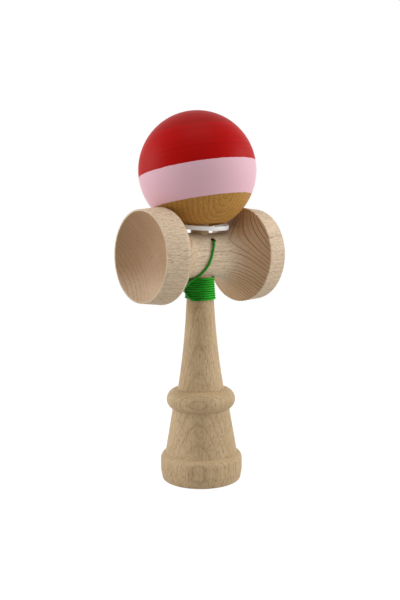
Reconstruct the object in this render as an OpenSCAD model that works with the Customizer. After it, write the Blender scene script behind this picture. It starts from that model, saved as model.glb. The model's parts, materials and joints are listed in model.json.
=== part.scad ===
// Kendama: a turned handle with a spike, a cross piece with two cups, a bored ball on a string
// and a loose ring round the spike. The table is at z = 0, the handle stands on the Z axis and the
// big cup looks along +X.

/* [Ken base] */
// Widest diameter of the base
base_d = 42.3; // [39:0.1:46]
// Diameter of the base at the table
foot_d = 41; // [38.6:0.1:43]
// Height of the base
base_h = 14.2; // [12:0.1:18]
// Height at which the base reaches its widest diameter
foot_rise = 5; // [3:0.1:8]
// Radius of the edge at the table
foot_round = 1.4; // [0.5:0.1:1.6]
// Radius of the upper edge of the base
base_round = 3.5; // [1:0.1:5]
// Diameter of the cup under the base
base_cup_d = 34.8; // [30:0.1:35.4]
// Depth of the cup under the base
base_cup_depth = 8; // [5:0.1:10]

/* [Ken handle and spike] */
// Diameter of the skirt where it leaves the base
skirt_d = 37.2; // [34:0.1:38]
// Diameter of the skirt where it runs into the bead
skirt_top_d = 27.8; // [26:0.1:32]
// Height of the middle of the bead
collar_z = 41.8; // [36:0.1:48]
// Diameter of the bead
collar_d = 35.6; // [33:0.1:38]
// Radius of the bead's round edge
collar_round = 5.5; // [4:0.1:6.5]
// Diameter of the handle just above the bead
handle_d = 23.9; // [21:0.1:25]
// Depth of the hollow curve along the handle
handle_hollow = 0.62; // [0.3:0.01:1.5]
// Height at which the spike's taper starts
taper_z = 90; // [86:0.1:92]
// Diameter at which the spike's taper starts
taper_d = 14.5; // [13.5:0.1:15.5]
// Height of the spike's tip
ken_h = 161.6; // [158:0.1:166]
// Diameter of the spike's tip
tip_d = 5; // [3:0.1:6]
// Radius of the edge of the tip
tip_round = 1; // [0.3:0.1:1.4]

/* [Sarado] */
// Height of the cross piece's axis
sarado_z = 116.1; // [112:0.1:120]
// Length of the cross piece from rim to rim
sarado_len = 74.3; // [70:0.1:80]
// Diameter of the waist between the cups
waist_d = 23; // [20:0.1:24]
// Length of the straight part of the waist
waist_len = 18; // [12:0.1:20]
// Diameter of the big cup's rim
big_rim_d = 48.4; // [46:0.1:50]
// Widest diameter of the big cup
big_d = 50; // [48:0.1:52]
// Distance from the handle's axis to the back of the big cup
big_back = 26; // [24:0.1:27]
// Radius of the edge at the back of the big cup
big_round = 0.8; // [0.3:0.1:2]
// Depth of the big cup
big_depth = 10.5; // [8:0.1:12]
// Diameter of the small cup's rim
small_rim_d = 45.4; // [43:0.1:47]
// Widest diameter of the small cup
small_d = 48; // [46:0.1:50]
// Distance from the handle's axis to the back of the small cup
small_back = 22.2; // [20:0.1:24]
// Radius of the edge at the back of the small cup
small_round = 3.6; // [1:0.1:4]
// Depth of the small cup
small_depth = 9.5; // [7:0.1:11]
// Width of the flat rim round each cup
rim_w = 0.8; // [0.5:0.1:2]
// Glue gap between the spike and the cross piece
taper_gap = 0.05; // [0.02:0.01:0.2]
// Diameter of the hole that the string comes out of
hole_d = 2.4; // [2:0.1:3]
// Distance of the string hole from the handle's axis, along the cross piece
hole_x = 1.6; // [-3:0.1:3]
// Angle of the string hole above the level
hole_angle = 40; // [30:1:50]
// Diameter of the pocket that holds the knot
pocket_d = 3.2; // [2.9:0.1:3.6]

/* [Tama] */
// Diameter of the ball
ball_d = 60; // [57:0.1:62]
// Diameter of the ball's bore
bore_d = 17; // [16.6:0.1:18.5]
// Diameter of the bevel at the bore's mouth
mouth_d = 21; // [20:0.1:23]
// Diameter of the string hole at the ball's top
top_hole_d = 3; // [2:0.1:4]
// Diameter of the bevel round the string hole
top_bevel_d = 7; // [6.4:0.1:9]
// Height above the ball's middle at which the red paint starts
red_edge = 0.5; // [-2:0.1:4]
// Height below the ball's middle at which the pink band ends
pink_edge = 15.7; // [12:0.1:18]
// Angle at which the ball leans on the spike
ball_lean = 8.55; // [0:0.05:9]
// Direction in which the ball leans
ball_lean_dir = 122.4; // [0:0.1:360]
// Distance of the ball's middle from the handle's axis
ball_shift = 1.1; // [0:0.05:1.2]
// Direction in which the ball's middle is off the handle's axis
ball_shift_dir = 115; // [0:1:360]
// Gap between the ball and the ring that it rests on
ball_gap = 0.45; // [0.2:0.01:1]
// Gap between the ball and the small cup's edge
cup_gap = 0.2; // [0.1:0.01:1]

/* [Ring] */
// Outside diameter of the ring
ring_d = 35; // [31:0.1:36]
// Height of the ring's band
ring_h = 2.2; // [1.5:0.1:3]
// Thickness of the ring's band
ring_wall = 1.2; // [0.8:0.1:2]
// Radius of the band's edges
ring_round = 0.35; // [0.1:0.05:0.39]
// Angle at which the ring lies
ring_tilt = 8.3; // [0:0.1:9]
// Direction in which the ring lies lower
ring_tilt_dir = -93; // [-120:1:-60]
// Offset of the ring from the handle's axis, along the cross piece
ring_x = 0.4; // [0:0.1:2]
// Offset of the ring from the handle's axis, across the cross piece
ring_y = 4.3; // [0:0.1:5]
// Gap between the ring and the cup that it rests on
ring_gap = 0.3; // [0.1:0.01:0.6]

/* [String and bead] */
// Diameter of the string as drawn, thin enough to leave a gap between its turns
string_d = 0.7; // [0.5:0.01:0.72]
// Distance from the wood to the middle of the string wound on it
string_lay = 0.55; // [0.5:0.01:0.8]
// Turns of string round the handle
winding_turns = 9.3; // [6:0.1:10]
// Distance from one turn to the next
winding_pitch = 1.15; // [1.14:0.01:1.2]
// Distance from the waist down to the start of the first turn
winding_drop = 0.15; // [0.1:0.01:1]
// Direction in which the first turn starts
winding_start = -39; // [-60:1:-20]
// Diameter of each knot in the string
knot_d = 2.6; // [2.2:0.1:2.8]
// Diameter of the bead that holds the string in the ball
bead_d = 7; // [5:0.1:9]
// Height of the bead
bead_h = 7; // [5:0.1:8]
// Diameter of the hole through the bead
bead_hole_d = 1.6; // [1.4:0.1:2.2]
// Gap between the spike's tip, the knot, the bead and the end of the bore
seat_gap = 0.2; // [0.1:0.05:0.5]

/* [Hidden] */
$fn = 96;

beech = [0.83, 0.71, 0.56];
maple = [0.72, 0.55, 0.29];
red_paint = [0.76, 0.13, 0.13];
pink_paint = [0.88, 0.70, 0.73];
white_plastic = [0.93, 0.93, 0.92];
green_string = [0.10, 0.48, 0.13];
bead_wood = [0.62, 0.42, 0.22];

// A fine circle keeps the long, shallow curve of the handle smooth.
long_curve_fn = 720;
// A cut runs this far past the faces that it opens.
past = 1;

waist_r = waist_d / 2;
ball_r = ball_d / 2;
ring_r = ring_d / 2;
knot_r = knot_d / 2;
collar_top_z = collar_z + collar_round;

// Radius of the spike's cone at a height.
function spike_r(z) =
    (taper_d + (tip_d - taper_d) * (z - taper_z) / (ken_h - tip_round - taper_z)) / 2;
// Radius of the arc that leaves a straight line smoothly and has moved aside by rise after run.
function flare_arc(run, rise) = (run * run + rise * rise) / (2 * rise);
// Radius of the sphere that cuts a cup of a given half width and depth.
function dish_r(half_w, depth) = (half_w * half_w + depth * depth) / (2 * depth);

// A point leaned from the Z axis towards +X, and a point turned about the Z axis.
function lean(p, a) = [p[0] * cos(a) + p[2] * sin(a), p[1], p[2] * cos(a) - p[0] * sin(a)];
function turn(p, a) = [p[0] * cos(a) - p[1] * sin(a), p[0] * sin(a) + p[1] * cos(a), p[2]];

// The ring lies on the top of the slope behind the small cup, and hangs lower on one side.
small_edge_r = small_d / 2 - small_round;
small_arc = flare_arc(small_back - waist_len / 2, small_edge_r - waist_r);
ring_seat = [-sqrt(pow(ring_r, 2) - pow(ring_y, 2)), -ring_y];
ring_seat_run = max(0, -ring_x - ring_seat[0] - waist_len / 2);
ring_seat_r = waist_r + small_arc - sqrt(pow(small_arc, 2) - pow(ring_seat_run, 2));
ring_seat_drop = tan(ring_tilt) * (ring_seat * [cos(ring_tilt_dir), sin(ring_tilt_dir)]);
ring_mid = [ring_x, ring_y, sarado_z + ring_seat_r + ring_h / 2 + ring_gap + ring_seat_drop];

// The ball rests on the highest edge inside the ring, or on the small cup's edge.
ball_aside = turn([ball_shift, 0, 0], ball_shift_dir);
ring_top = ring_mid + turn(lean([ring_wall - ring_r, 0, ring_h / 2], ring_tilt), ring_tilt_dir);
ring_top_aside = norm([ring_top[0] - ball_aside[0], ring_top[1] - ball_aside[1]]);
on_ring_z = ring_top[2] + sqrt(pow(ball_r + ball_gap, 2) - pow(ring_top_aside, 2));
small_edge_x = small_back + small_round + ball_aside[0];
on_cup_z = sarado_z + small_edge_r + sqrt(pow(ball_r + small_round + cup_gap, 2) - pow(small_edge_x, 2));
ball_z = max(on_ring_z, on_cup_z);
ball_mid = ball_aside + [0, 0, ball_z];

// A point given in the ball's own frame, whose Z axis is the ball's bore.
function on_ball(p) = ball_mid + turn(lean(p, ball_lean), ball_lean_dir);

// The knot under the bead sits on the spike's tip, and the bead at the end of the bore.
knot_foot = (ken_h + seat_gap - ball_z) / cos(ball_lean);
bead_foot = knot_foot + knot_d + seat_gap / 4;
bore_end = bead_foot + bead_h + seat_gap;
top_bevel_z = sqrt(pow(ball_r, 2) - pow(top_bevel_d / 2, 2));
// The string inside the ball ends this far below the ball's top.
core_drop = 4.5;
core_top = ball_r - core_drop;

// The string hole points at the cross piece's axis.
function hole_point(r) = [hole_x, -r * cos(hole_angle), sarado_z + r * sin(hole_angle)];
// Wood left over the knot's pocket.
knot_cover = 2;
pocket_end = waist_r - knot_cover;
knot_at = pocket_end - knot_r;

// Winding, from its start under the waist down to its last turn on the handle.
rings_per_turn = 24;
// Sides of the string where it is loose and where it is wound.
loose_sides = 8;
wound_sides = 6;
winding_z = sarado_z - waist_r - winding_drop;
function winding_point(turns) =
    let (z = winding_z - turns * winding_pitch,
         r = spike_r(z) + string_lay,
         a = winding_start - 360 * turns)
    [r * cos(a), r * sin(a), z];
winding_steps = round(winding_turns * rings_per_turn);
winding_loops = [for (i = [0:winding_steps]) winding_point(i / rings_per_turn)];
winding_in = unit(winding_loops[1] - winding_loops[0]);
winding_out = unit(winding_loops[winding_steps] - winding_loops[winding_steps - 1]);
winding_first = winding_loops[0] - winding_in * string_d;
winding_last = winding_loops[winding_steps] + winding_out * string_d;
winding_line = concat([winding_first], winding_loops, [winding_last]);
// Two lengths of string meet face to face across this gap.
join_gap = 0.02;

// Least distance between parts of the winding that are half a turn or more apart.
half_turn = rings_per_turn / 2;
winding_gap = min([for (i = [0:winding_steps - half_turn])
                   for (j = [i + half_turn:min(winding_steps, i + 3 * half_turn)])
                   norm(winding_loops[i] - winding_loops[j])]) - string_d;

// The string starts to bend this far inside its hole.
string_bend_depth = 1.55;
// Route of the string from its hole over the waist, round the winding's left side and back up to
// the start of the first turn.
run_bends = [[1.5, -8.4, 122.9], [1.3, -9.3, 123.1], [1, -10.1, 122.8], [0.6, -10.7, 122.2],
             [0.2, -11.2, 121.1], [-0.4, -11.5, 119.9], [-0.9, -11.8, 118.7], [-1.5, -12, 117.2],
             [-2.1, -12.1, 115.5], [-2.7, -11.9, 113.8], [-3.3, -11.5, 112.1], [-3.9, -10.8, 110.5],
             [-4.6, -9.7, 108.9], [-5.3, -8.4, 107.4], [-6, -6.9, 106.1], [-6.7, -5.2, 104.9],
             [-7.3, -3.4, 103.7], [-7.6, -1.6, 102.4], [-7.8, 0.2, 101.1], [-7.7, 1.9, 99.9],
             [-7.2, 3.6, 99.2], [-6, 5.4, 98.9], [-4.3, 6.8, 98.9], [-2.3, 7.7, 99.2],
             [-0.2, 8, 99.7], [1.9, 7.7, 100.4], [3.9, 6.9, 101.2], [5.6, 5.5, 102],
             [6.9, 3.7, 102.8], [7.6, 1.5, 103.5], [7.4, -0.9, 104]];
run_line = concat([hole_point(knot_at + knot_r / 2), hole_point(waist_r - string_bend_depth)],
                  run_bends,
                  [winding_first - winding_in * string_d * 2, winding_first - winding_in * join_gap]);

// Route of the free end of the string, up the winding's left side and down in a slack loop behind
// the handle, then up to the back of the ball.
tail_bends = [[-7.6, -2.5, 94], [-8.1, -1.4, 94.8], [-8.3, -0.2, 95.9], [-8.2, 1.1, 97],
              [-7.8, 2.6, 97.7], [-7, 4.2, 97.8], [-5.6, 6, 97.6], [-3.9, 7.4, 97.1],
              [-2, 8.5, 96.1], [-0.2, 9.4, 94.6], [1.3, 10.3, 92.6], [2.5, 11.1, 90],
              [3.6, 12, 86.6], [4.7, 12.9, 83.2], [5.7, 13.8, 80.3], [6.8, 14.7, 78.3],
              [8.1, 15.8, 77.5], [9.4, 16.9, 78.3], [10.3, 17.7, 80.4], [10.9, 18.3, 83.4],
              [11.5, 18.9, 87.6], [12, 19.6, 93.5], [12.8, 20.5, 101], [13.7, 21.4, 109],
              [14.7, 22.4, 117], [15.6, 23.2, 125], [16.5, 23.9, 133], [17.3, 24.5, 141],
              [18, 25, 149]];
// The last of it lies over the back of the ball: angle from the string hole and distance from the
// ball's middle.
tail_side = -70;
tail_over_ball = [[90, 31], [78, 30.8], [66, 30.8], [54, 30.8], [42, 30.8], [31, 30.8], [21, 30.8],
                  [13, 30.8], [7.5, 30.7], [4.2, 29.9], [2, 28.8], [0.6, 27.6], [0, 26.6]];
function over_ball(p) =
    on_ball([p[1] * sin(p[0]) * cos(tail_side), p[1] * sin(p[0]) * sin(tail_side), p[1] * cos(p[0])]);
tail_line = concat([winding_last + winding_out * join_gap, winding_last + winding_out * string_d],
                   tail_bends,
                   [for (p = tail_over_ball) over_ball(p)],
                   [on_ball([0, 0, core_top + join_gap])]);

echo(str("string_winding: least gap to itself ", winding_gap, " mm"));

// A direction that no length of string starts along.
first_side = [0.3, 0.5, 0.8];
function unit(v) = v / norm(v);
function square_to(v, axis) = unit(v - (v * axis) * axis);
function directions(line) =
    [for (i = [0:len(line) - 1]) unit(line[min(i + 1, len(line) - 1)] - line[max(i - 1, 0)])];
// Side directions along a line, each turned as little as possible from the one before.
function sideways(dirs) =
    [for (i = 0, s = square_to(first_side, dirs[0]); i < len(dirs);
          i = i + 1, s = square_to(s, dirs[min(i, len(dirs) - 1)])) s];

// Round tube along a line, closed at both ends.
module tube(line, d, sides) {
    dirs = directions(line);
    side = sideways(dirs);
    last = (len(line) - 1) * sides;
    points = [for (i = [0:len(line) - 1]) for (k = [0:sides - 1])
              line[i] + d / 2 * (cos(360 * k / sides) * side[i]
                                 + sin(360 * k / sides) * cross(dirs[i], side[i]))];
    walls = [for (i = [0:len(line) - 2]) for (k = [0:sides - 1])
             let (a = i * sides + k, b = i * sides + (k + 1) % sides)
             each [[a, b + sides, b], [a, a + sides, b + sides]]];
    start_cap = [for (k = [1:sides - 2]) [0, k, k + 1]];
    end_cap = [for (k = [1:sides - 2]) [last, last + k + 1, last + k]];
    polyhedron(points = points, faces = concat(walls, start_cap, end_cap), convexity = 10);
}

// Outline pieces of the ken, drawn as radius and height.
module base_outline() {
    foot_r = foot_d / 2;
    base_r = base_d / 2;
    square([foot_r - foot_round, foot_rise]);
    translate([foot_r - foot_round, foot_round]) circle(foot_round);
    polygon([[0, foot_round], [foot_r, foot_round], [base_r, foot_rise],
             [base_r, base_h - base_round], [0, base_h - base_round]]);
    translate([base_r - base_round, base_h - base_round]) circle(base_round);
    translate([0, foot_rise]) square([base_r - base_round, base_h - foot_rise]);
}

module skirt_outline() {
    polygon([[0, foot_rise + past], [skirt_d / 2, foot_rise + past], [skirt_d / 2, base_h],
             [skirt_top_d / 2, collar_z], [0, collar_z]]);
    translate([collar_d / 2 - collar_round, collar_z]) circle(collar_round);
    translate([0, collar_z - collar_round]) square([collar_d / 2 - collar_round, 2 * collar_round]);
}

module handle_outline() {
    low = [handle_d / 2, collar_top_z];
    high = [taper_d / 2, taper_z];
    chord = high - low;
    curve_r = dish_r(norm(chord) / 2, handle_hollow);
    aside = [chord[1], -chord[0]] / norm(chord);
    difference() {
        polygon([[0, collar_z], [handle_d / 2, collar_z], low, high, [0, taper_z]]);
        translate((low + high) / 2 + aside * (curve_r - handle_hollow))
            circle(curve_r, $fn = long_curve_fn);
    }
}

module spike_outline() {
    tip_r = tip_d / 2;
    polygon([[0, taper_z], [taper_d / 2, taper_z], [tip_r, ken_h - tip_round], [0, ken_h - tip_round]]);
    translate([0, taper_z]) square([tip_r - tip_round, ken_h - taper_z]);
    translate([tip_r - tip_round, ken_h - tip_round]) circle(tip_round);
}

module ken() {
    cup_r = dish_r(base_cup_d / 2, base_cup_depth);
    color(beech) rotate_extrude()
        difference() {
            union() {
                base_outline();
                skirt_outline();
                handle_outline();
                spike_outline();
            }
            translate([0, base_cup_depth - cup_r]) circle(cup_r);
        }
}

// Half of the cross piece's outline, drawn as radius and distance from the handle's axis.
module cup_outline(rim_d, wide_d, back, edge_round, depth) {
    half_waist = waist_len / 2;
    half_len = sarado_len / 2;
    flare_r = wide_d / 2 - edge_round;
    arc = flare_arc(back - half_waist, flare_r - waist_r);
    open_r = rim_d / 2 - rim_w;
    difference() {
        union() {
            square([waist_r, back]);
            difference() {
                translate([0, half_waist]) square([flare_r, back - half_waist]);
                translate([waist_r + arc, half_waist]) circle(arc);
            }
            translate([0, back]) square([flare_r, edge_round]);
            translate([flare_r, back + edge_round]) circle(edge_round);
            polygon([[0, back + edge_round], [wide_d / 2, back + edge_round], [rim_d / 2, half_len],
                     [0, half_len]]);
        }
        translate([0, half_len - depth + dish_r(open_r, depth)]) circle(dish_r(open_r, depth));
    }
}

module string_hole() {
    translate([hole_x, 0, sarado_z]) rotate([90 - hole_angle, 0, 0]) {
        translate([0, 0, pocket_end - past]) cylinder(h = waist_r + past, d = hole_d);
        cylinder(h = pocket_end, d = pocket_d);
    }
}

module sarado() {
    bore_low = sarado_z - waist_r - past;
    bore_high = sarado_z + waist_r + past;
    color(beech) difference() {
        translate([0, 0, sarado_z]) rotate([0, 90, 0]) rotate_extrude() {
            cup_outline(big_rim_d, big_d, big_back, big_round, big_depth);
            mirror([0, 1]) cup_outline(small_rim_d, small_d, small_back, small_round, small_depth);
        }
        translate([0, 0, bore_low])
            cylinder(h = bore_high - bore_low, r1 = spike_r(bore_low) + taper_gap,
                     r2 = spike_r(bore_high) + taper_gap);
        string_hole();
    }
}

module lean_with_ball() {
    translate(ball_mid) rotate([0, 0, ball_lean_dir]) rotate([0, ball_lean, 0]) children();
}

// The ball's outline between two heights.
module ball_outline(low, high) {
    mouth_z = -sqrt(pow(ball_r, 2) - pow(mouth_d / 2, 2));
    mouth_h = (mouth_d - bore_d) / 2;
    bevel_h = (top_bevel_d - top_hole_d) / 2;
    difference() {
        intersection() {
            circle(ball_r);
            translate([0, low]) square([ball_r, high - low]);
        }
        translate([0, -ball_r]) square([bore_d / 2, ball_r + bore_end]);
        polygon([[0, mouth_z - past], [mouth_d / 2 + past, mouth_z - past],
                 [bore_d / 2, mouth_z + mouth_h], [0, mouth_z + mouth_h]]);
        translate([0, bore_end - past]) square([top_hole_d / 2, ball_r - bore_end + 2 * past]);
        polygon([[0, top_bevel_z - bevel_h], [top_hole_d / 2, top_bevel_z - bevel_h],
                 [top_bevel_d / 2 + past, top_bevel_z + past], [0, top_bevel_z + past]]);
    }
}

module tama() {
    lean_with_ball() {
        color(red_paint) rotate_extrude() ball_outline(red_edge, ball_r);
        color(pink_paint) rotate_extrude() ball_outline(-pink_edge, red_edge);
        color(maple) rotate_extrude() ball_outline(-ball_r, -pink_edge);
    }
}

module spike_ring() {
    inner = [ring_wall, ring_h] - 2 * [ring_round, ring_round];
    color(white_plastic) translate(ring_mid)
        rotate([0, 0, ring_tilt_dir]) rotate([0, ring_tilt, 0])
            rotate_extrude() translate([ring_r - ring_wall, -ring_h / 2]) {
                translate([ring_round, 0]) square([inner[0], ring_h]);
                translate([0, ring_round]) square([ring_wall, inner[1]]);
                for (x = [ring_round, ring_wall - ring_round])
                    for (y = [ring_round, ring_h - ring_round])
                        translate([x, y]) circle(ring_round);
            }
}

module string_knot() {
    color(green_string) translate(hole_point(knot_at)) sphere(knot_r);
}

module string_run() {
    color(green_string) tube(run_line, string_d, loose_sides);
}

module string_winding() {
    color(green_string) tube(winding_line, string_d, wound_sides);
}

module string_tail() {
    color(green_string) tube(tail_line, string_d, loose_sides);
}

module string_core() {
    foot = knot_foot + knot_r;
    color(green_string) lean_with_ball()
        translate([0, 0, foot]) cylinder(h = core_top - foot, d = string_d);
}

module string_bead() {
    bead_belly = sqrt(pow(bead_d, 2) + pow(bead_h / 2, 2)) / 2;
    color(bead_wood) lean_with_ball() translate([0, 0, bead_foot + bead_h / 2]) rotate_extrude()
        difference() {
            intersection() {
                circle(bead_belly);
                translate([0, -bead_h / 2]) square([bead_d / 2, bead_h]);
            }
            translate([0, -bead_h]) square([bead_hole_d / 2, 2 * bead_h]);
        }
}

module end_knot() {
    color(green_string) lean_with_ball() translate([0, 0, knot_foot + knot_r]) sphere(knot_r);
}

ken();
sarado();
tama();
spike_ring();
string_knot();
string_run();
string_winding();
string_tail();
string_core();
string_bead();
end_knot();
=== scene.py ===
"""Looks of the kendama: its woods, paint, string and ring, with the stage and the camera."""

import json
import math

import bpy
from bpy.props import FloatProperty, FloatVectorProperty, IntProperty, PointerProperty
from mathutils import Matrix, Vector


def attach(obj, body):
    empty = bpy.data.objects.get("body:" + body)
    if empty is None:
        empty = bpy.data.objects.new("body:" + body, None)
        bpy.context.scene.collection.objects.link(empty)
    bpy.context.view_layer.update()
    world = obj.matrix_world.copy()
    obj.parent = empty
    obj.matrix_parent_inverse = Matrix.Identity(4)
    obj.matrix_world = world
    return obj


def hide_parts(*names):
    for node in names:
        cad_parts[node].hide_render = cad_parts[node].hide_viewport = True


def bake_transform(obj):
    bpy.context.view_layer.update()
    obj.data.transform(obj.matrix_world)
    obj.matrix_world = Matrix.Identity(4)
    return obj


bl_info = {
    "name": "Kendama",
    "version": (1, 0, 0),
    "blender": (4, 5, 0),
    "location": "View3D > Sidebar > Kendama",
    "description": "Gives the kendama its wood, paint and string, and sets its stage",
    "category": "Object",
}

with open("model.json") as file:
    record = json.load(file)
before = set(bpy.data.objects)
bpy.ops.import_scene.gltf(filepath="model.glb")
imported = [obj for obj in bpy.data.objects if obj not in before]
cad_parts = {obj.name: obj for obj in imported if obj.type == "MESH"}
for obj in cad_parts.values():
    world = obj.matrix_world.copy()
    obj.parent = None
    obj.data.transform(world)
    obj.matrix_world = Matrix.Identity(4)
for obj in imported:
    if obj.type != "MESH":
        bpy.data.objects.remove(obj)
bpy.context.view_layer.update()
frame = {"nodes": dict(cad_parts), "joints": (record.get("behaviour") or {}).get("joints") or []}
nodes = frame["nodes"]
joints = {joint["name"]: joint for joint in frame["joints"]}

MM = 0.001

# The ball's middle and the way its bore points, from the joint it turns on.
BALL_MIDDLE = Vector(joints["ball_spin"]["pos_m"])
BALL_AXIS = Vector(joints["ball_spin"]["axis"]).normalized()
# Height of the axis of the two cups.
CUP_AXIS_HEIGHT = 116.1 * MM
# Millimetres from the handle's axis to the small cup's back, over which the brown of the back fades, and
# half the width of the cup's opening; then how much the big cup's differ.
SMALL_BACK = 22.2
SMALL_FADE = 3.4
SMALL_OPEN = 21.9
BIG_BACK_MORE = 3.8
BIG_FADE_LESS = 2.6
BIG_OPEN_MORE = 1.5
# Millimetres from the handle's axis between which the slopes turn brown and the hollows start, and half
# the width of the line between hollow and rim.
SLOPE_BROWNS = (9, 22)
HOLLOW_STARTS = (26.3, 26.5)
RIM_LINE = 0.1
# Millimetres below the cups' axis over which painted shade darkens their wood towards the bottom, and
# painted light makes the lower part of their hollows, which faces up, paler.
CUPS_PAINTED_SHADE = (2, 26)
HOLLOWS_PAINTED_LIGHT = (4, 18)
# The hole that the string comes out of: its place along the cross piece, its angle above the level and
# its radius, in millimetres.
HOLE_PLACE = 1.6
HOLE_ANGLE = math.radians(40)
HOLE_RADIUS = 1.2
# Painted shade round the string hole: how far it lies to the side of the hole and above it, where it
# fades out past the hole's edge, and how far in front of the axis it starts.
HOLE_SHADE_ASIDE = 0.3
HOLE_SHADE_UP = 0.5
HOLE_SHADE_FADES = (0.1, 0.5)
HOLE_SHADE_FRONT = (4, 5)
# Levels of noise between which the broad tone of a wood goes from light to dark.
TONE_LEVELS = (0.3, 0.7)
# Middle of the growth rings of the bead in the ball, seen from above, in millimetres.
BEAD_PITH = (20, 30)
# The paint's edges on the ball, in millimetres: how far they sway, how finely per millimetre, half their
# width, and half the width of the step between the two reds.
PAINT_SWAY = 0.25
SWAY_FINENESS = 0.35
PAINT_EDGE = 0.12
CAP_FADE = 0.6
# The braid: length of a strand's turn round the string, the strands that wind each way, and the fineness
# of its fuzz, per millimetre.
STRAND_LENGTH = 1.5 * MM
STRANDS = 4
FUZZ = 2.5
# Millimetres to the left and right of the handle's axis between which painted light makes the wound
# string lighter.
WINDING_PAINTED_LIGHT = (-4.5, 3.5)

# The spike's cone: height and radius at the handle's taper and at its tip.
TAPER_HEIGHT = 90 * MM
TAPER_RADIUS = 7.25 * MM
TIP_HEIGHT = 160.6 * MM
TIP_RADIUS = 2.5 * MM
# How far the winding's ends, the run and the free end go straight on where they meet, and the gap there.
WINDING_STRAIGHT = 0.7 * MM
RUN_STRAIGHT = 1.4 * MM
TAIL_STRAIGHT = 0.7 * MM
STRING_GAP = 0.02 * MM
# From the lowest point of the slack loop to a point under the ball's back.
FOLLOW_SPAN = Vector((0.55, 0.60, 0.58)) * 45 * MM

# Lamps, in metres: the point they aim at, their width, and their places from there: right, ahead and up.
LAMP_AIM = Vector((0, 0, 0.11))
LAMP_WIDTH = 0.4
SIDE_LAMP = (0.52, 0.04, 0.14)
TOP_LAMP = (0, -0.15, 0.56)
WHITE = (1, 1, 1)
# The camera's sensor in millimetres, and the nearest and farthest that it sees, in metres.
SENSOR_WIDTH = 36
CLIP = (0.01, 20)
# Half the width of the floor in metres, and how far it lies under the base.
FLOOR_HALF = 3.0
FLOOR_DROP = 0.02 * MM

# Route of the string, in millimetres: out of its hole, over the waist and round the winding's left
# side, back up to the first turn.
STRING_RUN = (
    (1.6, -6.78, 121.79), (1.6, -7.62, 122.5), (1.5, -8.4, 122.9), (1.3, -9.3, 123.1),
    (1, -10.1, 122.8), (0.6, -10.7, 122.2), (0.2, -11.2, 121.1), (-0.4, -11.5, 119.9),
    (-0.9, -11.8, 118.7), (-1.5, -12, 117.2), (-2.1, -12.1, 115.5), (-2.7, -11.9, 113.8),
    (-3.3, -11.5, 112.1), (-3.9, -10.8, 110.5),
    (-4.6, -9.7, 108.9), (-5.3, -8.4, 107.4), (-6, -6.9, 106.1), (-6.7, -5.2, 104.9),
    (-7.3, -3.4, 103.7), (-7.6, -1.6, 102.4), (-7.8, 0.2, 101.1), (-7.7, 1.9, 99.9),
    (-7.2, 3.6, 99.2), (-6, 5.4, 98.9), (-4.3, 6.8, 98.9), (-2.3, 7.7, 99.2),
    (-0.2, 8, 99.7), (1.9, 7.7, 100.4), (3.9, 6.9, 101.2), (5.6, 5.5, 102),
    (6.9, 3.7, 102.8), (7.6, 1.5, 103.5), (7.4, -0.9, 104),
)
# Free end: up the winding's left side, down in a slack loop behind the handle, up to the ball.
STRING_TAIL = (
    (-7.6, -2.5, 94), (-8.1, -1.4, 94.8), (-8.3, -0.2, 95.9), (-8.2, 1.1, 97),
    (-7.8, 2.6, 97.7), (-7, 4.2, 97.8), (-5.6, 6, 97.6), (-3.9, 7.4, 97.1),
    (-2, 8.5, 96.1), (-0.2, 9.4, 94.6), (1.3, 10.3, 92.6), (2.5, 11.1, 90),
    (3.6, 12, 86.6), (4.7, 12.9, 83.2), (5.7, 13.8, 80.3), (6.8, 14.7, 78.3),
    (8.1, 15.8, 77.5), (9.4, 16.9, 78.3), (10.3, 17.7, 80.4), (10.9, 18.3, 83.4),
    (11.5, 18.9, 87.6), (12, 19.6, 93.5), (12.8, 20.5, 101), (13.7, 21.4, 109),
    (14.7, 22.4, 117), (15.6, 23.2, 125), (16.5, 23.9, 133), (17.3, 24.5, 141),
    (18, 25, 149),
)
# Over the back of the ball: angle from the string hole and distance from the ball's middle.
STRING_OVER_BALL = (
    (90, 31), (78, 30.8), (66, 30.8), (54, 30.8), (42, 30.8), (31, 30.8), (21, 30.8),
    (13, 30.8), (7.5, 30.7), (4.2, 29.9), (2, 28.8), (0.6, 27.6), (0, 26.6), (0, 25.52),
)
# Side of the ball that the free end lies on, counted from the way the ball leans.
OVER_BALL_SIDE = -70


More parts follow.
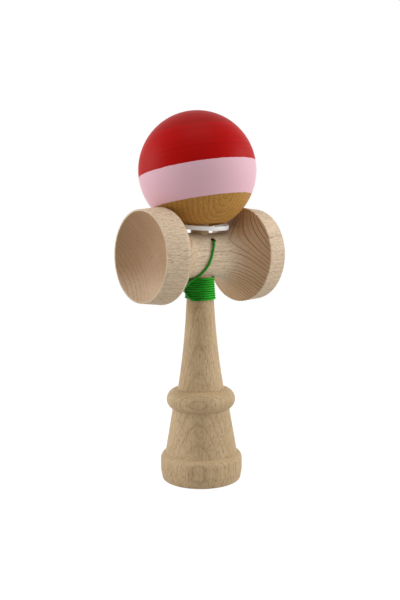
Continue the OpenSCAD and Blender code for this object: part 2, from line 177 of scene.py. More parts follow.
class KendamaWood(bpy.types.PropertyGroup):
    """Colours and figure of the woods and the paint."""

    ken_pale: FloatVectorProperty(
        name="Pale handle", description="Lighter colour of the handle's wood",
        subtype="COLOR", default=(0.655, 0.482, 0.284), min=0, max=1)
    ken_tan: FloatVectorProperty(
        name="Tan handle", description="Darker colour of the handle's wood",
        subtype="COLOR", default=(0.42, 0.293, 0.15), min=0, max=1)
    cup_pale: FloatVectorProperty(
        name="Pale cups", description="Lighter colour of the cross piece's wood",
        subtype="COLOR", default=(0.81, 0.645, 0.458), min=0, max=1)
    cup_tan: FloatVectorProperty(
        name="Tan cups", description="Darker colour of the cross piece's wood",
        subtype="COLOR", default=(0.54, 0.41, 0.275), min=0, max=1)
    cup_end: FloatVectorProperty(
        name="End grain", description="Colour of the cross piece's wood where its fibres end",
        subtype="COLOR", default=(0.60, 0.395, 0.235), min=0, max=1)
    brown: FloatVectorProperty(
        name="Beech line", description="Colour of the growth lines and flecks of the beech",
        subtype="COLOR", default=(0.235, 0.112, 0.038), min=0, max=1)
    gold: FloatVectorProperty(
        name="Golden wood", description="Lighter colour of the ball's bare wood",
        subtype="COLOR", default=(0.58, 0.302, 0.078), min=0, max=1)
    gold_line: FloatVectorProperty(
        name="Golden wood line", description="Colour of the lines in the ball's bare wood",
        subtype="COLOR", default=(0.20, 0.085, 0.014), min=0, max=1)
    red: FloatVectorProperty(
        name="Red paint", description="Colour of the ball's red paint",
        subtype="COLOR", default=(0.47, 0.0035, 0.0025), min=0, max=1)
    red_cap: FloatVectorProperty(
        name="Red paint on the top", description="Colour of the red paint round the string hole",
        subtype="COLOR", default=(0.38, 0.007, 0.004), min=0, max=1)
    pink: FloatVectorProperty(
        name="Pink paint", description="Colour of the ball's pink band",
        subtype="COLOR", default=(0.83, 0.515, 0.59), min=0, max=1)
    red_edge: FloatProperty(
        name="Red edge", description="Height of the red paint's edge above the ball's middle",
        unit="LENGTH", default=0.5 * MM, precision=5)
    cap_edge: FloatProperty(
        name="Cap edge", unit="LENGTH",
        description="Height above the ball's middle of the darker red round the string hole",
        default=19 * MM, precision=5)
    pink_edge: FloatProperty(
        name="Pink edge", description="Height of the pink band's lower edge, below the ball's middle",
        unit="LENGTH", default=-15.7 * MM, precision=5)
    ken_pith: FloatVectorProperty(
        name="Handle's pith", description="Middle of the growth rings of the handle, seen from above",
        subtype="XYZ", unit="LENGTH", size=2, default=(48.87 * MM, 49.73 * MM))
    sarado_pith: FloatVectorProperty(
        name="Cross piece's pith", subtype="XYZ", unit="LENGTH", size=2,
        description="Middle of the growth rings of the cross piece, seen along it",
        default=(-65 * MM, 165 * MM))
    tama_pith: FloatVectorProperty(
        name="Ball's pith", description="Middle of the growth rings of the ball, seen from above",
        subtype="XYZ", unit="LENGTH", size=2, default=(-4 * MM, -26 * MM))


class KendamaString(bpy.types.PropertyGroup):
    """Sizes and colours of the string and the ring."""

    loose: FloatProperty(
        name="Loose string", description="Thickness of the string where it runs free", unit="LENGTH",
        default=1.2 * MM, precision=5)
    wound: FloatProperty(
        name="Wound string", description="Thickness of the string where it is wound tight", unit="LENGTH",
        default=1.06 * MM, precision=5)
    sides: IntProperty(name="Sides", description="Faces round the string", default=12, min=6, max=24)
    turns: FloatProperty(name="Turns", description="Turns of the string round the handle", default=9.3)
    pitch: FloatProperty(
        name="Pitch", description="Distance from one turn to the next", unit="LENGTH",
        default=1.15 * MM, precision=5)
    lay: FloatProperty(
        name="Lay", description="Distance from the wood to the middle of the string", unit="LENGTH",
        default=0.55 * MM, precision=5)
    start_height: FloatProperty(
        name="Start height", description="Height at which the first turn starts", unit="LENGTH",
        default=104.45 * MM, precision=5)
    start_angle: FloatProperty(
        name="Start angle", description="Direction in which the first turn starts", subtype="ANGLE",
        default=math.radians(-39))
    green: FloatVectorProperty(
        name="Green", description="Colour of the string", subtype="COLOR",
        default=(0.045, 0.80, 0.04), min=0, max=1)
    # Also the painted shade in the wound string's grooves and on its left side.
    green_dark: FloatVectorProperty(
        name="Dark green", description="Colour between the strands of the string", subtype="COLOR",
        default=(0.003, 0.10, 0.004), min=0, max=1)
    ring_white: FloatVectorProperty(
        name="Ring", description="Colour of the ring round the spike", subtype="COLOR",
        default=(0.86, 0.86, 0.85), min=0, max=1)


class KendamaStage(bpy.types.PropertyGroup):
    """Camera, lamps and floor."""

    camera_at: FloatVectorProperty(
        name="Camera", description="Place of the camera", subtype="XYZ", unit="LENGTH",
        default=(-232.01 * MM, -288.41 * MM, 123.63 * MM))
    heading: FloatProperty(
        name="Heading", description="Direction in which the camera looks, counted from +X",
        subtype="ANGLE", default=math.radians(51.2))
    pitch_down: FloatProperty(
        name="Pitch", description="Angle by which the camera looks down", subtype="ANGLE",
        default=math.radians(4.709))
    roll: FloatProperty(
        name="Roll", description="Angle by which the camera leans to the right", subtype="ANGLE",
        default=math.radians(0.42))
    lens: FloatProperty(
        name="Lens", description="Focal length in millimetres for a 36 mm wide sensor", default=43.25)
    sky: FloatProperty(name="Sky", description="Light that comes from all round", default=0.45)
    side_power: FloatVectorProperty(
        name="Side lamps", description="Power of the lamps left and right", unit="POWER", size=2,
        default=(1.42, 1.66))
    top_power: FloatProperty(
        name="Top lamp", description="Power of the lamp above", unit="POWER", default=0.9)
    floor_white: FloatProperty(
        name="Floor", description="Brightness of the floor", subtype="FACTOR", default=0.7, min=0, max=1)
    shadow: FloatProperty(
        name="Shadow", description="Share of the floor's own shading that the camera sees",
        subtype="FACTOR", default=0.25, min=0, max=1)
    floor_glow: FloatProperty(
        name="Floor's glow", default=1.24,
        description="White that the camera sees in place of the rest of the floor's shading")


class Value:
    """A shader's number, which takes part in Python arithmetic by adding Math nodes."""

    def __init__(self, shader, socket):
        self.shader = shader
        self.socket = socket

    def math(self, operation, *others):
        """The result of a Math node on this number and the others."""
        made = self.shader.node(
            "ShaderNodeMath", {"operation": operation}, dict(enumerate((self, *others))))
        return Value(self.shader, made.outputs[0])

    def reflected(self, operation, other):
        """The same with a plain number first."""
        made = self.shader.node("ShaderNodeMath", {"operation": operation}, {0: other, 1: self})
        return Value(self.shader, made.outputs[0])

    def __add__(self, other):
        return self.math("ADD", other)

    def __sub__(self, other):
        return self.math("SUBTRACT", other)

    def __mul__(self, other):
        return self.math("MULTIPLY", other)

    def __truediv__(self, other):
        return self.math("DIVIDE", other)

    def __pow__(self, other):
        return self.math("POWER", other)

    def __rsub__(self, other):
        return self.reflected("SUBTRACT", other)

    def __rtruediv__(self, other):
        return self.reflected("DIVIDE", other)

    def __rpow__(self, other):
        return self.reflected("POWER", other)

    __radd__ = __add__
    __rmul__ = __mul__

    def rise(self, low, high):
        """0 below low, 1 above high and a smooth step between."""
        made = self.shader.node(
            "ShaderNodeMapRange", {"interpolation_type": "SMOOTHSTEP"},
            {"Value": self, "From Min": low, "From Max": high})
        return Value(self.shader, made.outputs["Result"])


class NodeTree:
    """A tree that nodes are added to."""

    def __init__(self, tree):
        self.tree = tree
        self.tree.nodes.clear()

    def node(self, kind, settings=None, sockets=None):
        """Adds a node, sets its settings, then the values or links of its sockets."""
        made = self.tree.nodes.new(kind)
        for name, setting in (settings or {}).items():
            setattr(made, name, setting)
        for name, value in (sockets or {}).items():
            socket = made.inputs[name]
            if isinstance(value, Value):
                value = value.socket
            if isinstance(value, bpy.types.NodeSocket):
                self.tree.links.new(value, socket)
            elif socket.type == "RGBA" and len(value) == 3:
                socket.default_value = (*value, 1)
            else:
                socket.default_value = value
        return made


class Shader(NodeTree):
    """The nodes of a material or a world."""

    def __init__(self, owner):
        """owner is a world or the name of a new material."""
        if isinstance(owner, str):
            owner = bpy.data.materials.new(owner)
        owner.use_nodes = True
        self.owner = owner
        super().__init__(owner.node_tree)

    def vector_maths(self, operation, sockets, output="Vector"):
        """The result of a Vector Math node."""
        return self.node("ShaderNodeVectorMath", {"operation": operation}, sockets).outputs[output]

    def millimetres(self):
        """The point on the object, in millimetres, as a vector socket."""
        place = self.node("ShaderNodeTexCoord").outputs["Object"]
        return self.vector_maths("SCALE", {0: place, "Scale": 1 / MM})

    def split(self, vector):
        """The three numbers of a vector."""
        parts = self.node("ShaderNodeSeparateXYZ", None, {0: vector}).outputs
        return [Value(self, part) for part in parts]

    def join(self, x, y, z):
        """A vector of three numbers."""
        return self.node("ShaderNodeCombineXYZ", None, {"X": x, "Y": y, "Z": z}).outputs[0]

    def along(self, vector, start, direction):
        """How far a point lies from start along a direction."""
        moved = self.vector_maths("SUBTRACT", {0: vector, 1: start})
        return Value(self, self.vector_maths("DOT_PRODUCT", {0: moved, 1: direction}, "Value"))

    def noise(self, vector, detail, roughness=0.5, scale=1.0):
        """Smooth random numbers over space."""
        made = self.node(
            "ShaderNodeTexNoise", None,
            {"Vector": vector, "Scale": scale, "Detail": detail, "Roughness": roughness})
        return Value(self, made.outputs["Fac"])

    def seen_directly(self):
        """1 for rays from the camera, off a mirror or through glass, and 0 for the rest."""
        path = self.node("ShaderNodeLightPath").outputs
        kinds = ("Camera", "Glossy", "Transmission")
        camera, mirror, glass = (Value(self, path[f"Is {kind} Ray"]) for kind in kinds)
        return camera.math("MAXIMUM", mirror).math("MAXIMUM", glass)

    def attribute(self, name, output):
        """What a mesh keeps at each of its points under a name."""
        return self.node("ShaderNodeAttribute", {"attribute_name": name}).outputs[output]

    def mix(self, factor, below, above):
        """A colour: below where the factor is 0, and above where it is 1."""
        made = self.node(
            "ShaderNodeMix", {"data_type": "RGBA"}, {"Factor": factor, 6: below, 7: above})
        return made.outputs[2]

    def finish(self, sockets, height=None, depth=0.0):
        """Adds the surface shader; height, if given, is raised by depth metres."""
        sockets = dict(sockets)
        if height is not None:
            bump = self.node("ShaderNodeBump", None, {"Height": height, "Distance": depth})
            sockets["Normal"] = bump.outputs[0]
        surface = self.node("ShaderNodeBsdfPrincipled", None, sockets)
        self.node("ShaderNodeOutputMaterial", None, {"Surface": surface.outputs[0]})
        return self.owner


class Grain:
    """Figure of a piece of wood, each from 0 to 1: growth lines, the year's slow darkening between them,
    flecks, pores, streaks and broad tone."""

    # Fineness of each pattern across the fibres and along them, per millimetre.
    TONE = (1 / 14, 1 / 40)
    SWAY = (1 / 9, 1 / 34)
    FLECKS = (2.3, 1 / 2.4)
    PORES = (1.6, 0.7)
    STREAKS = (1.9, 1 / 12)
    STREAK_ROUGHNESS = 0.75
    # Each ring takes its strength from another part of the noise, and it changes slowly along the fibres.
    RING_STEP = 7.3
    RING_ALONG = 1 / 60
    # Shares of a year's growth between which a line darkens and breaks off, and how sharply it darkens.
    DARKENS = (0.66, 0.95)
    BREAKS_OFF = (0.96, 1.0)
    SHARPNESS = 1.6
    # Levels of noise between which lines, flecks and pores come out.
    LINE_LEVELS = (0.15, 0.55)
    FLECK_LEVELS = (0.56, 0.68)
    PORE_LEVELS = (0.56, 0.7)

    def __init__(self, shader, point, along, pith, spacing, waver):
        """along is 0, 1 or 2, the axis that the fibres follow; pith is the place of the growth rings'
        middle on the other two axes, spacing the distance between rings and waver how far they sway, in
        millimetres."""
        self.shader = shader
        axes = shader.split(point)
        self.length = axes.pop(along)
        self.side, self.depth = axes
        across, away = self.side - pith[0], self.depth - pith[1]
        age = (across * across + away * away).math("SQRT") + waver * self.pattern(self.SWAY, 2)
        ring = age / spacing
        step = ring.math("FRACT")
        strength = shader.noise(
            shader.join(ring.math("FLOOR") * self.RING_STEP, self.length * self.RING_ALONG, 0.0), 0)
        darkening = step.rise(*self.DARKENS) ** self.SHARPNESS * (1 - step.rise(*self.BREAKS_OFF))
        self.line = darkening * strength.rise(*self.LINE_LEVELS)
        self.season = step * step
        self.tone = self.pattern(self.TONE, 2)
        self.fleck = self.pattern(self.FLECKS, 1).rise(*self.FLECK_LEVELS)
        self.pore = self.pattern(self.PORES, 1).rise(*self.PORE_LEVELS)
        self.streak = self.pattern(self.STREAKS, 3, self.STREAK_ROUGHNESS)

    def pattern(self, fineness, detail, roughness=0.5):
        """Noise that is stretched along the fibres."""
        across, along = fineness
        place = self.shader.join(self.side * across, self.depth * across, self.length * along)
        return self.shader.noise(place, detail, roughness)


class StringTube(NodeTree):
    """A tree of geometry nodes that sweeps a round string along a curve."""

    ALONG = "string_along"
    SIDE = "string_side"

    def __init__(self):
        super().__init__(bpy.data.node_groups.new("string tube", "GeometryNodeTree"))
        inputs = (("Line", "NodeSocketGeometry"), ("Diameter", "NodeSocketFloat"),
                  ("Sides", "NodeSocketInt"), ("Material", "NodeSocketMaterial"))
        self.names = {}
        for name, kind in inputs:
            socket = self.tree.interface.new_socket(name, in_out="INPUT", socket_type=kind)
            self.names[name] = socket.identifier
        self.tree.interface.new_socket("Tube", in_out="OUTPUT", socket_type="NodeSocketGeometry")
        given = self.node("NodeGroupInput").outputs
        step = self.node("GeometryNodeSplineParameter").outputs
        line = self.node(
            "GeometryNodeStoreNamedAttribute", {"data_type": "FLOAT", "domain": "POINT"},
            {"Geometry": given["Line"], "Name": self.ALONG, "Value": step["Length"]}).outputs[0]
        radius = self.node(
            "ShaderNodeMath", {"operation": "DIVIDE"}, {0: given["Diameter"], 1: 2}).outputs[0]
        circle = self.node(
            "GeometryNodeCurvePrimitiveCircle", None,
            {"Resolution": given["Sides"], "Radius": radius}).outputs["Curve"]
        place = self.node("GeometryNodeInputPosition").outputs[0]
        side = self.node("ShaderNodeVectorMath", {"operation": "NORMALIZE"}, {0: place}).outputs[0]
        circle = self.node(
            "GeometryNodeStoreNamedAttribute", {"data_type": "FLOAT_VECTOR", "domain": "POINT"},
            {"Geometry": circle, "Name": self.SIDE, "Value": side}).outputs[0]
        tube = self.node(
            "GeometryNodeCurveToMesh", None,
            {"Curve": line, "Profile Curve": circle, "Fill Caps": True}).outputs[0]
        smooth = self.node("GeometryNodeSetShadeSmooth", None, {"Geometry": tube}).outputs[0]
        real = self.node("GeometryNodeRealizeInstances", None, {"Geometry": smooth}).outputs[0]
        dyed = self.node(
            "GeometryNodeSetMaterial", None, {"Geometry": real, "Material": given["Material"]}).outputs[0]
        self.node("NodeGroupOutput", None, {"Tube": dyed})

    def sweep(self, name, points, diameter, sides, material):
        """A mesh object: the tube along points, in metres."""
        curve = bpy.data.curves.new(name, "CURVE")
        curve.dimensions = "3D"
        curve.twist_mode = "MINIMUM"
        spline = curve.splines.new("POLY")
        spline.points.add(len(points) - 1)
        for spot, point in zip(spline.points, points):
            spot.co = (*point, 1)
        guide = bpy.data.objects.new(name + " guide", curve)
        bpy.context.scene.collection.objects.link(guide)
        modifier = guide.modifiers.new("tube", "NODES")
        modifier.node_group = self.tree
        values = {"Diameter": diameter, "Sides": sides, "Material": material}
        for key, value in values.items():
            modifier[self.names[key]] = value
        graph = bpy.context.evaluated_depsgraph_get()
        mesh = bpy.data.meshes.new_from_object(guide.evaluated_get(graph))
        mesh.name = name
        bpy.data.objects.remove(guide)
        tube = bpy.data.objects.new(name, mesh)
        bpy.context.scene.collection.objects.link(tube)
        return tube


def smooth_line(points, steps=5):
    """A smooth line through points, as a cubic curve from each to the next."""
    ends = [points[0] * 2 - points[1], *points, points[-1] * 2 - points[-2]]
    line = []
    for i in range(1, len(ends) - 2):
        a, b, c, d = ends[i - 1:i + 3]
        for k in range(steps):
            t = k / steps
            line.append((b * 2 + (c - a) * t + (a * 2 - b * 5 + c * 4 - d) * t ** 2
                         + (b * 3 - a - c * 3 + d) * t ** 3) / 2)
    return [*line, points[-1]]


def line_length(line):
    """Length of a line of points."""
    return sum((b - a).length for a, b in zip(line, line[1:]))


def millimetre_points(points):
    """Points in millimetres, brought to metres."""
    return [Vector(point) * MM for point in points]


def spike_radius(height):
    """Radius of the spike's cone, from the handle's taper to its tip."""
    share = (height - TAPER_HEIGHT) / (TIP_HEIGHT - TAPER_HEIGHT)
    return TAPER_RADIUS + (TIP_RADIUS - TAPER_RADIUS) * share


def winding_line(settings, rings_per_turn=36):
    """Middle of the wound string, from the first turn down to the last, with straight ends."""
    steps = round(settings.turns * rings_per_turn)
    line = []
    for i in range(steps + 1):
        turn = i / rings_per_turn
        height = settings.start_height - turn * settings.pitch
        radius = spike_radius(height) + settings.lay
        angle = settings.start_angle - math.tau * turn
        line.append(Vector((radius * math.cos(angle), radius * math.sin(angle), height)))
    first = line[0] + (line[0] - line[1]).normalized() * WINDING_STRAIGHT
    last = line[-1] + (line[-1] - line[-2]).normalized() * WINDING_STRAIGHT
    return [first, *line, last]


def over_ball_points():
    """Route of the free end over the back of the ball and into its string hole."""
    lean = math.acos(BALL_AXIS.z)
    towards = math.atan2(BALL_AXIS.y, BALL_AXIS.x)
    turn = Matrix.Rotation(towards, 3, "Z") @ Matrix.Rotation(lean, 3, "Y")
    side = math.radians(OVER_BALL_SIDE)
    points = []
    for angle, distance in STRING_OVER_BALL:
        angle = math.radians(angle)
        away = math.sin(angle)
        ray = Vector((away * math.cos(side), away * math.sin(side), math.cos(angle)))
        points.append(BALL_MIDDLE + turn @ ray * distance * MM)
    return points


def darker(colour, share):
    """A colour with only a share of its light."""
    return [part * share for part in colour]


def beech(shader, grain, pale, tan, line_depth, end=0.0, end_colour=(0, 0, 0), hole_shade=0.0):
    """Bare beech with fine growth lines and short brown flecks; end is 1 where the fibres end, and
    hole_shade where painted shade darkens it round the string hole."""
    brown = bpy.context.scene.kendama_wood.brown
    streak_levels, tone_share, streak_share = (0.36, 0.68), 0.4, 0.6
    end_mottle, fleck_depth, pore_depth, hole_shade_lightness = 0.3, 0.46, 0.34, 0.25
    roughness, streak_roughness, fleck_relief, relief_depth = 0.5, 0.12, 0.6, 0.04 * MM
    mottle = grain.tone.rise(*TONE_LEVELS) * tone_share + grain.streak.rise(*streak_levels) * streak_share
    colour = shader.mix(mottle, pale, tan)
    colour = shader.mix(end, colour, end_colour)
    colour = shader.mix(mottle * end * end_mottle, colour, brown)
    colour = shader.mix(grain.line * line_depth, colour, brown)
    specks = grain.fleck * (1 - end) * fleck_depth + grain.pore * end * pore_depth
    colour = shader.mix(specks, colour, brown)
    # Painted shade round the string hole.
    colour = shader.mix(hole_shade, colour, darker(brown, hole_shade_lightness))
    return shader.finish(
        {"Base Color": colour, "Roughness": roughness + grain.streak * streak_roughness,
         "Specular IOR Level": 0.28},
        grain.streak - grain.fleck * fleck_relief, relief_depth)


def beech_handle(name):
    """Beech with upright fibres."""
    wood = bpy.context.scene.kendama_wood
    shader = Shader(name)
    pith = [place / MM for place in wood.ken_pith]
    grain = Grain(shader, shader.millimetres(), along=2, pith=pith, spacing=1.72, waver=0.8)
    return beech(shader, grain, wood.ken_pale, wood.ken_tan, line_depth=0.27)


def beech_cups(name):
    """Beech with its fibres from cup to cup, browner on the slopes and in the cups where they end."""
    wood = bpy.context.scene.kendama_wood
    hollow_brown, hollow_painted_light, low_painted_shade = 0.42, 0.42, 0.6
    line_depth, slope_lines, hollow_lines = 0.34, 0.9, 0.12
    shader = Shader(name)
    point = shader.millimetres()
    pith = [place / MM for place in wood.sarado_pith]
    grain = Grain(shader, point, along=0, pith=pith, spacing=1.9, waver=1.4)
    x, y, z = shader.split(point)
    out = x.math("ABSOLUTE")
    height = z - CUP_AXIS_HEIGHT / MM
    low = 0 - height
    wide = (y * y + height * height).math("SQRT")
    # 1 on the side of the big cup.
    big = x.rise(-1, 1)
    past_back = (out - SMALL_BACK - big * BIG_BACK_MORE) / (SMALL_FADE - big * BIG_FADE_LESS)
    slope = out.rise(*SLOPE_BROWNS) * (1 - past_back.rise(0, 1))
    past_rim = (wide - SMALL_OPEN - big * BIG_OPEN_MORE).rise(-RIM_LINE, RIM_LINE)
    hollow = out.rise(*HOLLOW_STARTS) * (1 - past_rim)
    end_colour = shader.mix(hollow * hollow_brown, wood.cup_end, wood.brown)
    # Painted light: the lower part of each hollow, which faces up, is paler.
    end_colour = shader.mix(hollow * low.rise(*HOLLOWS_PAINTED_LIGHT) * hollow_painted_light, end_colour, wood.cup_pale)
    # Painted shade round the string hole, which darkens the wood in front of it.
    beside = x - (HOLE_PLACE + HOLE_SHADE_ASIDE)
    above = height * math.cos(HOLE_ANGLE) + y * math.sin(HOLE_ANGLE) - HOLE_SHADE_UP
    from_hole = (beside * beside + above * above).math("SQRT") - HOLE_RADIUS
    hole_shade = (1 - from_hole.rise(*HOLE_SHADE_FADES)) * (0 - y).rise(*HOLE_SHADE_FRONT)
    # Painted shade: the cups' wood is darker towards the bottom, where it faces down.
    pale = shader.mix(low.rise(*CUPS_PAINTED_SHADE) * low_painted_shade, wood.cup_pale, wood.cup_tan)
    lines = line_depth + slope * slope_lines + hollow * hollow_lines
    return beech(shader, grain, pale, wood.cup_tan, lines, slope + hollow, end_colour, hole_shade)


def beech_bead(name):
    """Beech of the small bead, with fibres along its hole."""
    wood = bpy.context.scene.kendama_wood
    shader = Shader(name)
    grain = Grain(shader, shader.millimetres(), along=2, pith=BEAD_PITH, spacing=1.6, waver=0.8)
    return beech(shader, grain, wood.ken_pale, wood.ken_tan, line_depth=0.4)


def painted_ball(name):
    """The ball's wood, with a pink band and red paint over it."""
    wood = bpy.context.scene.kendama_wood
    shader = Shader(name)
    point = shader.millimetres()
    height = shader.along(point, BALL_MIDDLE / MM, BALL_AXIS)
    sway = shader.noise(point, 2, scale=SWAY_FINENESS) * (2 * PAINT_SWAY) - PAINT_SWAY

    def above(edge, half_width):
        """1 above one of the paint's edges and 0 below it."""
        return (height + sway).rise(edge / MM - half_width, edge / MM + half_width)

    pith = [place / MM for place in wood.tama_pith]
    grain = Grain(shader, point, along=2, pith=pith, spacing=2.5, waver=1.2)
    tone_depth, streak_levels, streak_depth = 0.5, (0.4, 0.66), 0.4
    season_depth, line_depth, fleck_depth = 0.32, 0.1, 0.4
    bare = shader.mix(
        grain.tone.rise(*TONE_LEVELS) * tone_depth, wood.gold, darker(wood.gold, share=0.8))
    bare = shader.mix(grain.streak.rise(*streak_levels) * streak_depth, bare, wood.gold_line)
    lines = grain.season * season_depth + grain.line * line_depth + grain.fleck * fleck_depth
    bare = shader.mix(lines, bare, wood.gold_line)
    turning_fineness, turning_sway = 1.1, 0.4
    turned = shader.noise(shader.join(height * turning_fineness, grain.tone * turning_sway, 0.0), 3)
    red_levels, red_depth, pink_levels, pink_depth = (0.42, 0.7), 0.5, (0.45, 0.75), 0.12
    red = shader.mix(above(wood.cap_edge, CAP_FADE), wood.red, wood.red_cap)
    red = shader.mix(turned.rise(*red_levels) * red_depth, red, darker(wood.red, share=0.72))
    pink = shader.mix(turned.rise(*pink_levels) * pink_depth, wood.pink, darker(wood.pink, share=0.85))
    in_pink = above(wood.pink_edge, PAINT_EDGE)
    in_red = above(wood.red_edge, PAINT_EDGE)
    colour = shader.mix(in_red, shader.mix(in_pink, bare, pink), red)
    paint_relief, wood_relief, relief_depth = 0.5, 0.4, 0.05 * MM
    relief = (in_pink + in_red) * paint_relief + grain.streak * (1 - in_pink) * wood_relief
    return shader.finish(
        {"Base Color": colour, "Roughness": 0.5 - in_pink * 0.05, "Specular IOR Level": 0.06},
        relief, relief_depth)


def strands(shader):
    """The strands of a round braid along a swept string, from 0 between them to 1 on them."""
    run = Value(shader, shader.attribute(StringTube.ALONG, "Fac")) * (math.tau / STRAND_LENGTH)
    side = shader.split(shader.attribute(StringTube.SIDE, "Vector"))
    turn = side[1].math("ARCTAN2", side[0]) * STRANDS
    crossing = (turn + run).math("SINE") * (turn - run).math("SINE")
    edge = 0.55
    return crossing.math("ABSOLUTE").rise(0.0, edge)


def braided_string(name):
    """Green string of fine strands that cross as in a round braid."""
    settings = bpy.context.scene.kendama_string
    strand_share, fuzz_share, relief_depth = 0.35, 0.2, 0.06 * MM
    shader = Shader(name)
    strand = strands(shader)
    fuzz = shader.noise(shader.millimetres(), 2, scale=FUZZ)
    colour = shader.mix(
        strand * strand_share + fuzz * fuzz_share, settings.green_dark, settings.green)
    return shader.finish(
        {"Base Color": colour, "Roughness": 0.4, "Specular IOR Level": 0.2}, strand, relief_depth)


def wound_string(name):
    """The same string wound tight, with painted shade in the grooves between its turns and painted light
    on its right.
    """
    settings = bpy.context.scene.kendama_string
    groove_shade_edges, groove_shade_depth, relief_depth = (0.14, 0.4), 0.8, 0.05 * MM
    patches_across, patches_round, patch_levels = 1.3, 9, (0.3, 0.62)
    strand_share, patch_share, painted_light_share = 0.3, 0.3, 0.6
    shader = Shader(name)
    strand = strands(shader)
    x, y, z = shader.split(shader.millimetres())
    turned = (settings.start_angle - y.math("ARCTAN2", x)) / math.tau
    turns = (settings.start_height / MM - z) / (settings.pitch / MM) - turned
    # Painted shade in the grooves between the turns.
    groove_shade = ((turns + 0.5).math("FRACT") - 0.5).math("ABSOLUTE").rise(*groove_shade_edges)
    patches = shader.join(turns * patches_across, turned * patches_round, 0.0)
    patch = shader.noise(patches, 2).rise(*patch_levels)
    # Strands and random patches, with painted light that grows towards +X.
    light = strand * strand_share + patch * patch_share + x.rise(*WINDING_PAINTED_LIGHT) * painted_light_share
    colour = shader.mix(light, settings.green_dark, settings.green)
    colour = shader.mix(groove_shade * groove_shade_depth, colour, settings.green_dark)
    return shader.finish(
        {"Base Color": colour, "Roughness": 0.45, "Specular IOR Level": 0.1}, strand, relief_depth)


def plain_string(name):
    """Green string where only a knot or an end shows."""
    settings = bpy.context.scene.kendama_string
    shader = Shader(name)
    fuzz = shader.noise(shader.millimetres(), 2, scale=FUZZ)
    colour = shader.mix(fuzz, settings.green_dark, settings.green)
    return shader.finish({"Base Color": colour, "Roughness": 0.75, "Specular IOR Level": 0.3})


def white_plastic(name):
    """Smooth white plastic of the ring."""
    white = bpy.context.scene.kendama_string.ring_white
    return Shader(name).finish({"Base Color": white, "Roughness": 0.22, "Specular IOR Level": 0.5})


def dress(node, material):
    """Gives a solid its finish."""
    mesh = nodes[node].data
    mesh.materials.clear()
    mesh.materials.append(material)


def lamp(name, place, power):
    """A round soft lamp that shines from a place at the middle of the part."""
    light = bpy.data.lights.new(name, "AREA")
    light.shape = "DISK"
    light.size = LAMP_WIDTH
    light.energy = power
    shade = bpy.data.objects.new(name, light)
    shade.location = place
    shade.rotation_mode = "QUATERNION"
    shade.rotation_quaternion = (LAMP_AIM - place).to_track_quat("-Z", "Y")
    bpy.context.scene.collection.objects.link(shade)


class KENDAMA_OT_stage(bpy.types.Operator):
    """Sets the camera, the lamps, the pale surroundings and the floor"""

    bl_idname = "kendama.stage"
    bl_label = "Stage"

    def execute(self, context):
        stage = context.scene.kendama_stage
        ahead = Vector((math.cos(stage.heading), math.sin(stage.heading), 0))
        right = Vector((ahead.y, -ahead.x, 0))
        self.camera(context, stage, ahead, right)
        self.lamps(stage, ahead, right)
        self.surroundings(context, stage)
        self.floor(context, stage)
        return {"FINISHED"}

    def camera(self, context, stage, ahead, right):
        """The camera, turned by its heading, pitch and roll."""
        view = ahead * math.cos(stage.pitch_down) - Vector((0, 0, math.sin(stage.pitch_down)))
        level_up = right.cross(view)
        up = level_up * math.cos(stage.roll) + right * math.sin(stage.roll)
        across = view.cross(up)
        data = bpy.data.cameras.new("camera")
        data.lens = stage.lens
        data.sensor_fit = "AUTO"
        data.sensor_width = SENSOR_WIDTH
        data.clip_start, data.clip_end = CLIP
        camera = bpy.data.objects.new("camera", data)
        turned = Matrix((across, up, -view)).transposed().to_4x4()
        camera.matrix_world = Matrix.Translation(stage.camera_at) @ turned
        context.scene.collection.objects.link(camera)
        context.scene.camera = camera

    def lamps(self, stage, ahead, right):
        """Soft lamps left, right and above."""
        lamps = (
            ("left lamp", -1, SIDE_LAMP, stage.side_power[0]),
            ("right lamp", 1, SIDE_LAMP, stage.side_power[1]),
            ("top lamp", 1, TOP_LAMP, stage.top_power),
        )
        for name, side, (aside, forward, up), power in lamps:
            lamp(name, LAMP_AIM + right * aside * side + ahead * forward + Vector((0, 0, up)), power)

    def surroundings(self, context, stage):
        """Even light from all round, which the camera and mirrors see as white."""
        world = bpy.data.worlds.new("pale surroundings")
        context.scene.world = world
        shader = Shader(world)
        light, seen = (
            shader.node("ShaderNodeBackground", None, {"Color": WHITE, "Strength": strength}).outputs[0]
            for strength in (stage.sky, 1.0))
        mixed = shader.node("ShaderNodeMixShader", None, {0: shader.seen_directly(), 1: light, 2: seen})
        shader.node("ShaderNodeOutputWorld", None, {"Surface": mixed.outputs[0]})

    def floor(self, context, stage):
        """A floor that fades into the white round it, with a soft shadow."""
        corners = ((-1, -1), (1, -1), (1, 1), (-1, 1))
        mesh = bpy.data.meshes.new("floor")
        mesh.from_pydata([(x * FLOOR_HALF, y * FLOOR_HALF, 0) for x, y in corners], [], [(0, 1, 2, 3)])
        floor = bpy.data.objects.new("floor", mesh)
        floor.location.z = -FLOOR_DROP
        context.scene.collection.objects.link(floor)
        shader = Shader("pale floor")
        grey = (stage.floor_white,) * 3
        matt = shader.node("ShaderNodeBsdfDiffuse", None, {"Color": grey}).outputs[0]
        glow = shader.node(
            "ShaderNodeEmission", None, {"Color": WHITE, "Strength": stage.floor_glow}).outputs[0]
        share = shader.seen_directly() * (1 - stage.shadow)
        surface = shader.node("ShaderNodeMixShader", None, {0: share, 1: matt, 2: glow})
        shader.node("ShaderNodeOutputMaterial", None, {"Surface": surface.outputs[0]})
        mesh.materials.append(shader.owner)


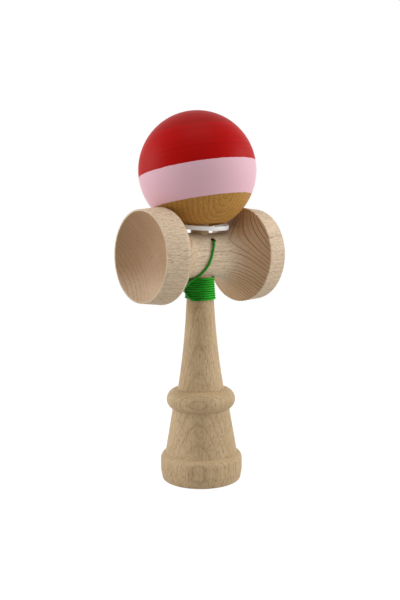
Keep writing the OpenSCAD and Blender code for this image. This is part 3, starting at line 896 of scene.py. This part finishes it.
class KENDAMA_OT_string(bpy.types.Operator):
    """Winds the string: its run over the waist, its turns and its free end to the ball"""

    bl_idname = "kendama.string"
    bl_label = "String"

    def execute(self, context):
        settings = context.scene.kendama_string
        loose, wound = braided_string("green braid"), wound_string("wound green braid")
        tube = StringTube()
        turns = winding_line(settings)
        into = (turns[1] - turns[0]).normalized()
        out = (turns[-1] - turns[-2]).normalized()
        run = smooth_line([
            *millimetre_points(STRING_RUN), turns[0] - into * RUN_STRAIGHT, turns[0] - into * STRING_GAP])
        tail = smooth_line([
            turns[-1] + out * STRING_GAP, turns[-1] + out * TAIL_STRAIGHT,
            *millimetre_points(STRING_TAIL), *over_ball_points()])
        lengths = (
            ("string_run", run, settings.loose, "loose", loose),
            ("string_winding", turns, settings.wound, "coiled", wound),
            ("string_tail", tail, settings.loose, "hanging", loose),
        )
        for node, line, diameter, lay, finish in lengths:
            piece = tube.sweep(node + "_braid", line, diameter, settings.sides, finish)
            self.place(piece, line, node, lay, diameter)
        plain = plain_string("green string")
        for node in ("string_knot", "string_core", "end_knot"):
            dress(node, plain)
        return {"FINISHED"}

    def place(self, piece, line, node, lay, diameter):
        """Hides the solid that a length of string stands for; the free end keeps its place and the rest
        move with the handle. The lay is not used.
        """
        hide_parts(node)
        if node == "string_tail":
            self.blend_end(line)
            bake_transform(piece)
        else:
            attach(piece, "ken")
        line_length(line)

    def blend_start(self, line):
        """The lowest point of the free end's slack loop."""
        return min(line, key=lambda point: point.z)

    def blend_end(self, line):
        """A point under the ball's back, FOLLOW_SPAN past the lowest point of the slack loop."""
        return self.blend_start(line) + FOLLOW_SPAN


class KENDAMA_OT_ken(bpy.types.Operator):
    """Finishes the handle as bare beech with its fibres upright"""

    bl_idname = "kendama.ken"
    bl_label = "Handle and spike"

    def execute(self, context):
        dress("ken", beech_handle("beech handle"))
        return {"FINISHED"}


class KENDAMA_OT_sarado(bpy.types.Operator):
    """Finishes the cross piece as bare beech with its fibres from cup to cup"""

    bl_idname = "kendama.sarado"
    bl_label = "Cross piece"

    def execute(self, context):
        dress("sarado", beech_cups("beech cups"))
        return {"FINISHED"}


class KENDAMA_OT_tama(bpy.types.Operator):
    """Paints the ball red and pink over golden wood"""

    bl_idname = "kendama.tama"
    bl_label = "Ball"

    def execute(self, context):
        dress("tama", painted_ball("painted ball"))
        return {"FINISHED"}


class KENDAMA_OT_fittings(bpy.types.Operator):
    """Finishes the ring round the spike and the bead in the ball"""

    bl_idname = "kendama.fittings"
    bl_label = "Ring and bead"

    def execute(self, context):
        dress("spike_ring", white_plastic("white plastic"))
        dress("string_bead", beech_bead("beech bead"))
        return {"FINISHED"}


class KENDAMA_PT_panel(bpy.types.Panel):
    """Buttons for each step, and its settings"""

    bl_idname = "KENDAMA_PT_panel"
    bl_label = "Kendama"
    bl_space_type = "VIEW_3D"
    bl_region_type = "UI"
    bl_category = "Kendama"

    def draw(self, context):
        layout = self.layout
        for operator in OPERATORS:
            layout.operator(operator.bl_idname)
        for settings in SETTINGS:
            group = getattr(context.scene, settings)
            box = layout.box()
            for name in group.__annotations__:
                box.prop(group, name)


SETTINGS = {"kendama_stage": KendamaStage, "kendama_string": KendamaString, "kendama_wood": KendamaWood}
OPERATORS = (
    KENDAMA_OT_stage, KENDAMA_OT_string, KENDAMA_OT_ken, KENDAMA_OT_sarado, KENDAMA_OT_tama,
    KENDAMA_OT_fittings)
CLASSES = (*SETTINGS.values(), *OPERATORS, KENDAMA_PT_panel)


def register():
    for cls in CLASSES:
        bpy.utils.register_class(cls)
    for name, group in SETTINGS.items():
        setattr(bpy.types.Scene, name, PointerProperty(type=group))


def unregister():
    for name in SETTINGS:
        delattr(bpy.types.Scene, name)
    for cls in reversed(CLASSES):
        bpy.utils.unregister_class(cls)


def main():
    register()
    bpy.context.scene.view_settings.view_transform = "Standard"
    bpy.ops.kendama.stage()
    bpy.ops.kendama.string()
    bpy.ops.kendama.ken()
    bpy.ops.kendama.sarado()
    bpy.ops.kendama.tama()
    bpy.ops.kendama.fittings()


if __name__ == "__main__":
    main()
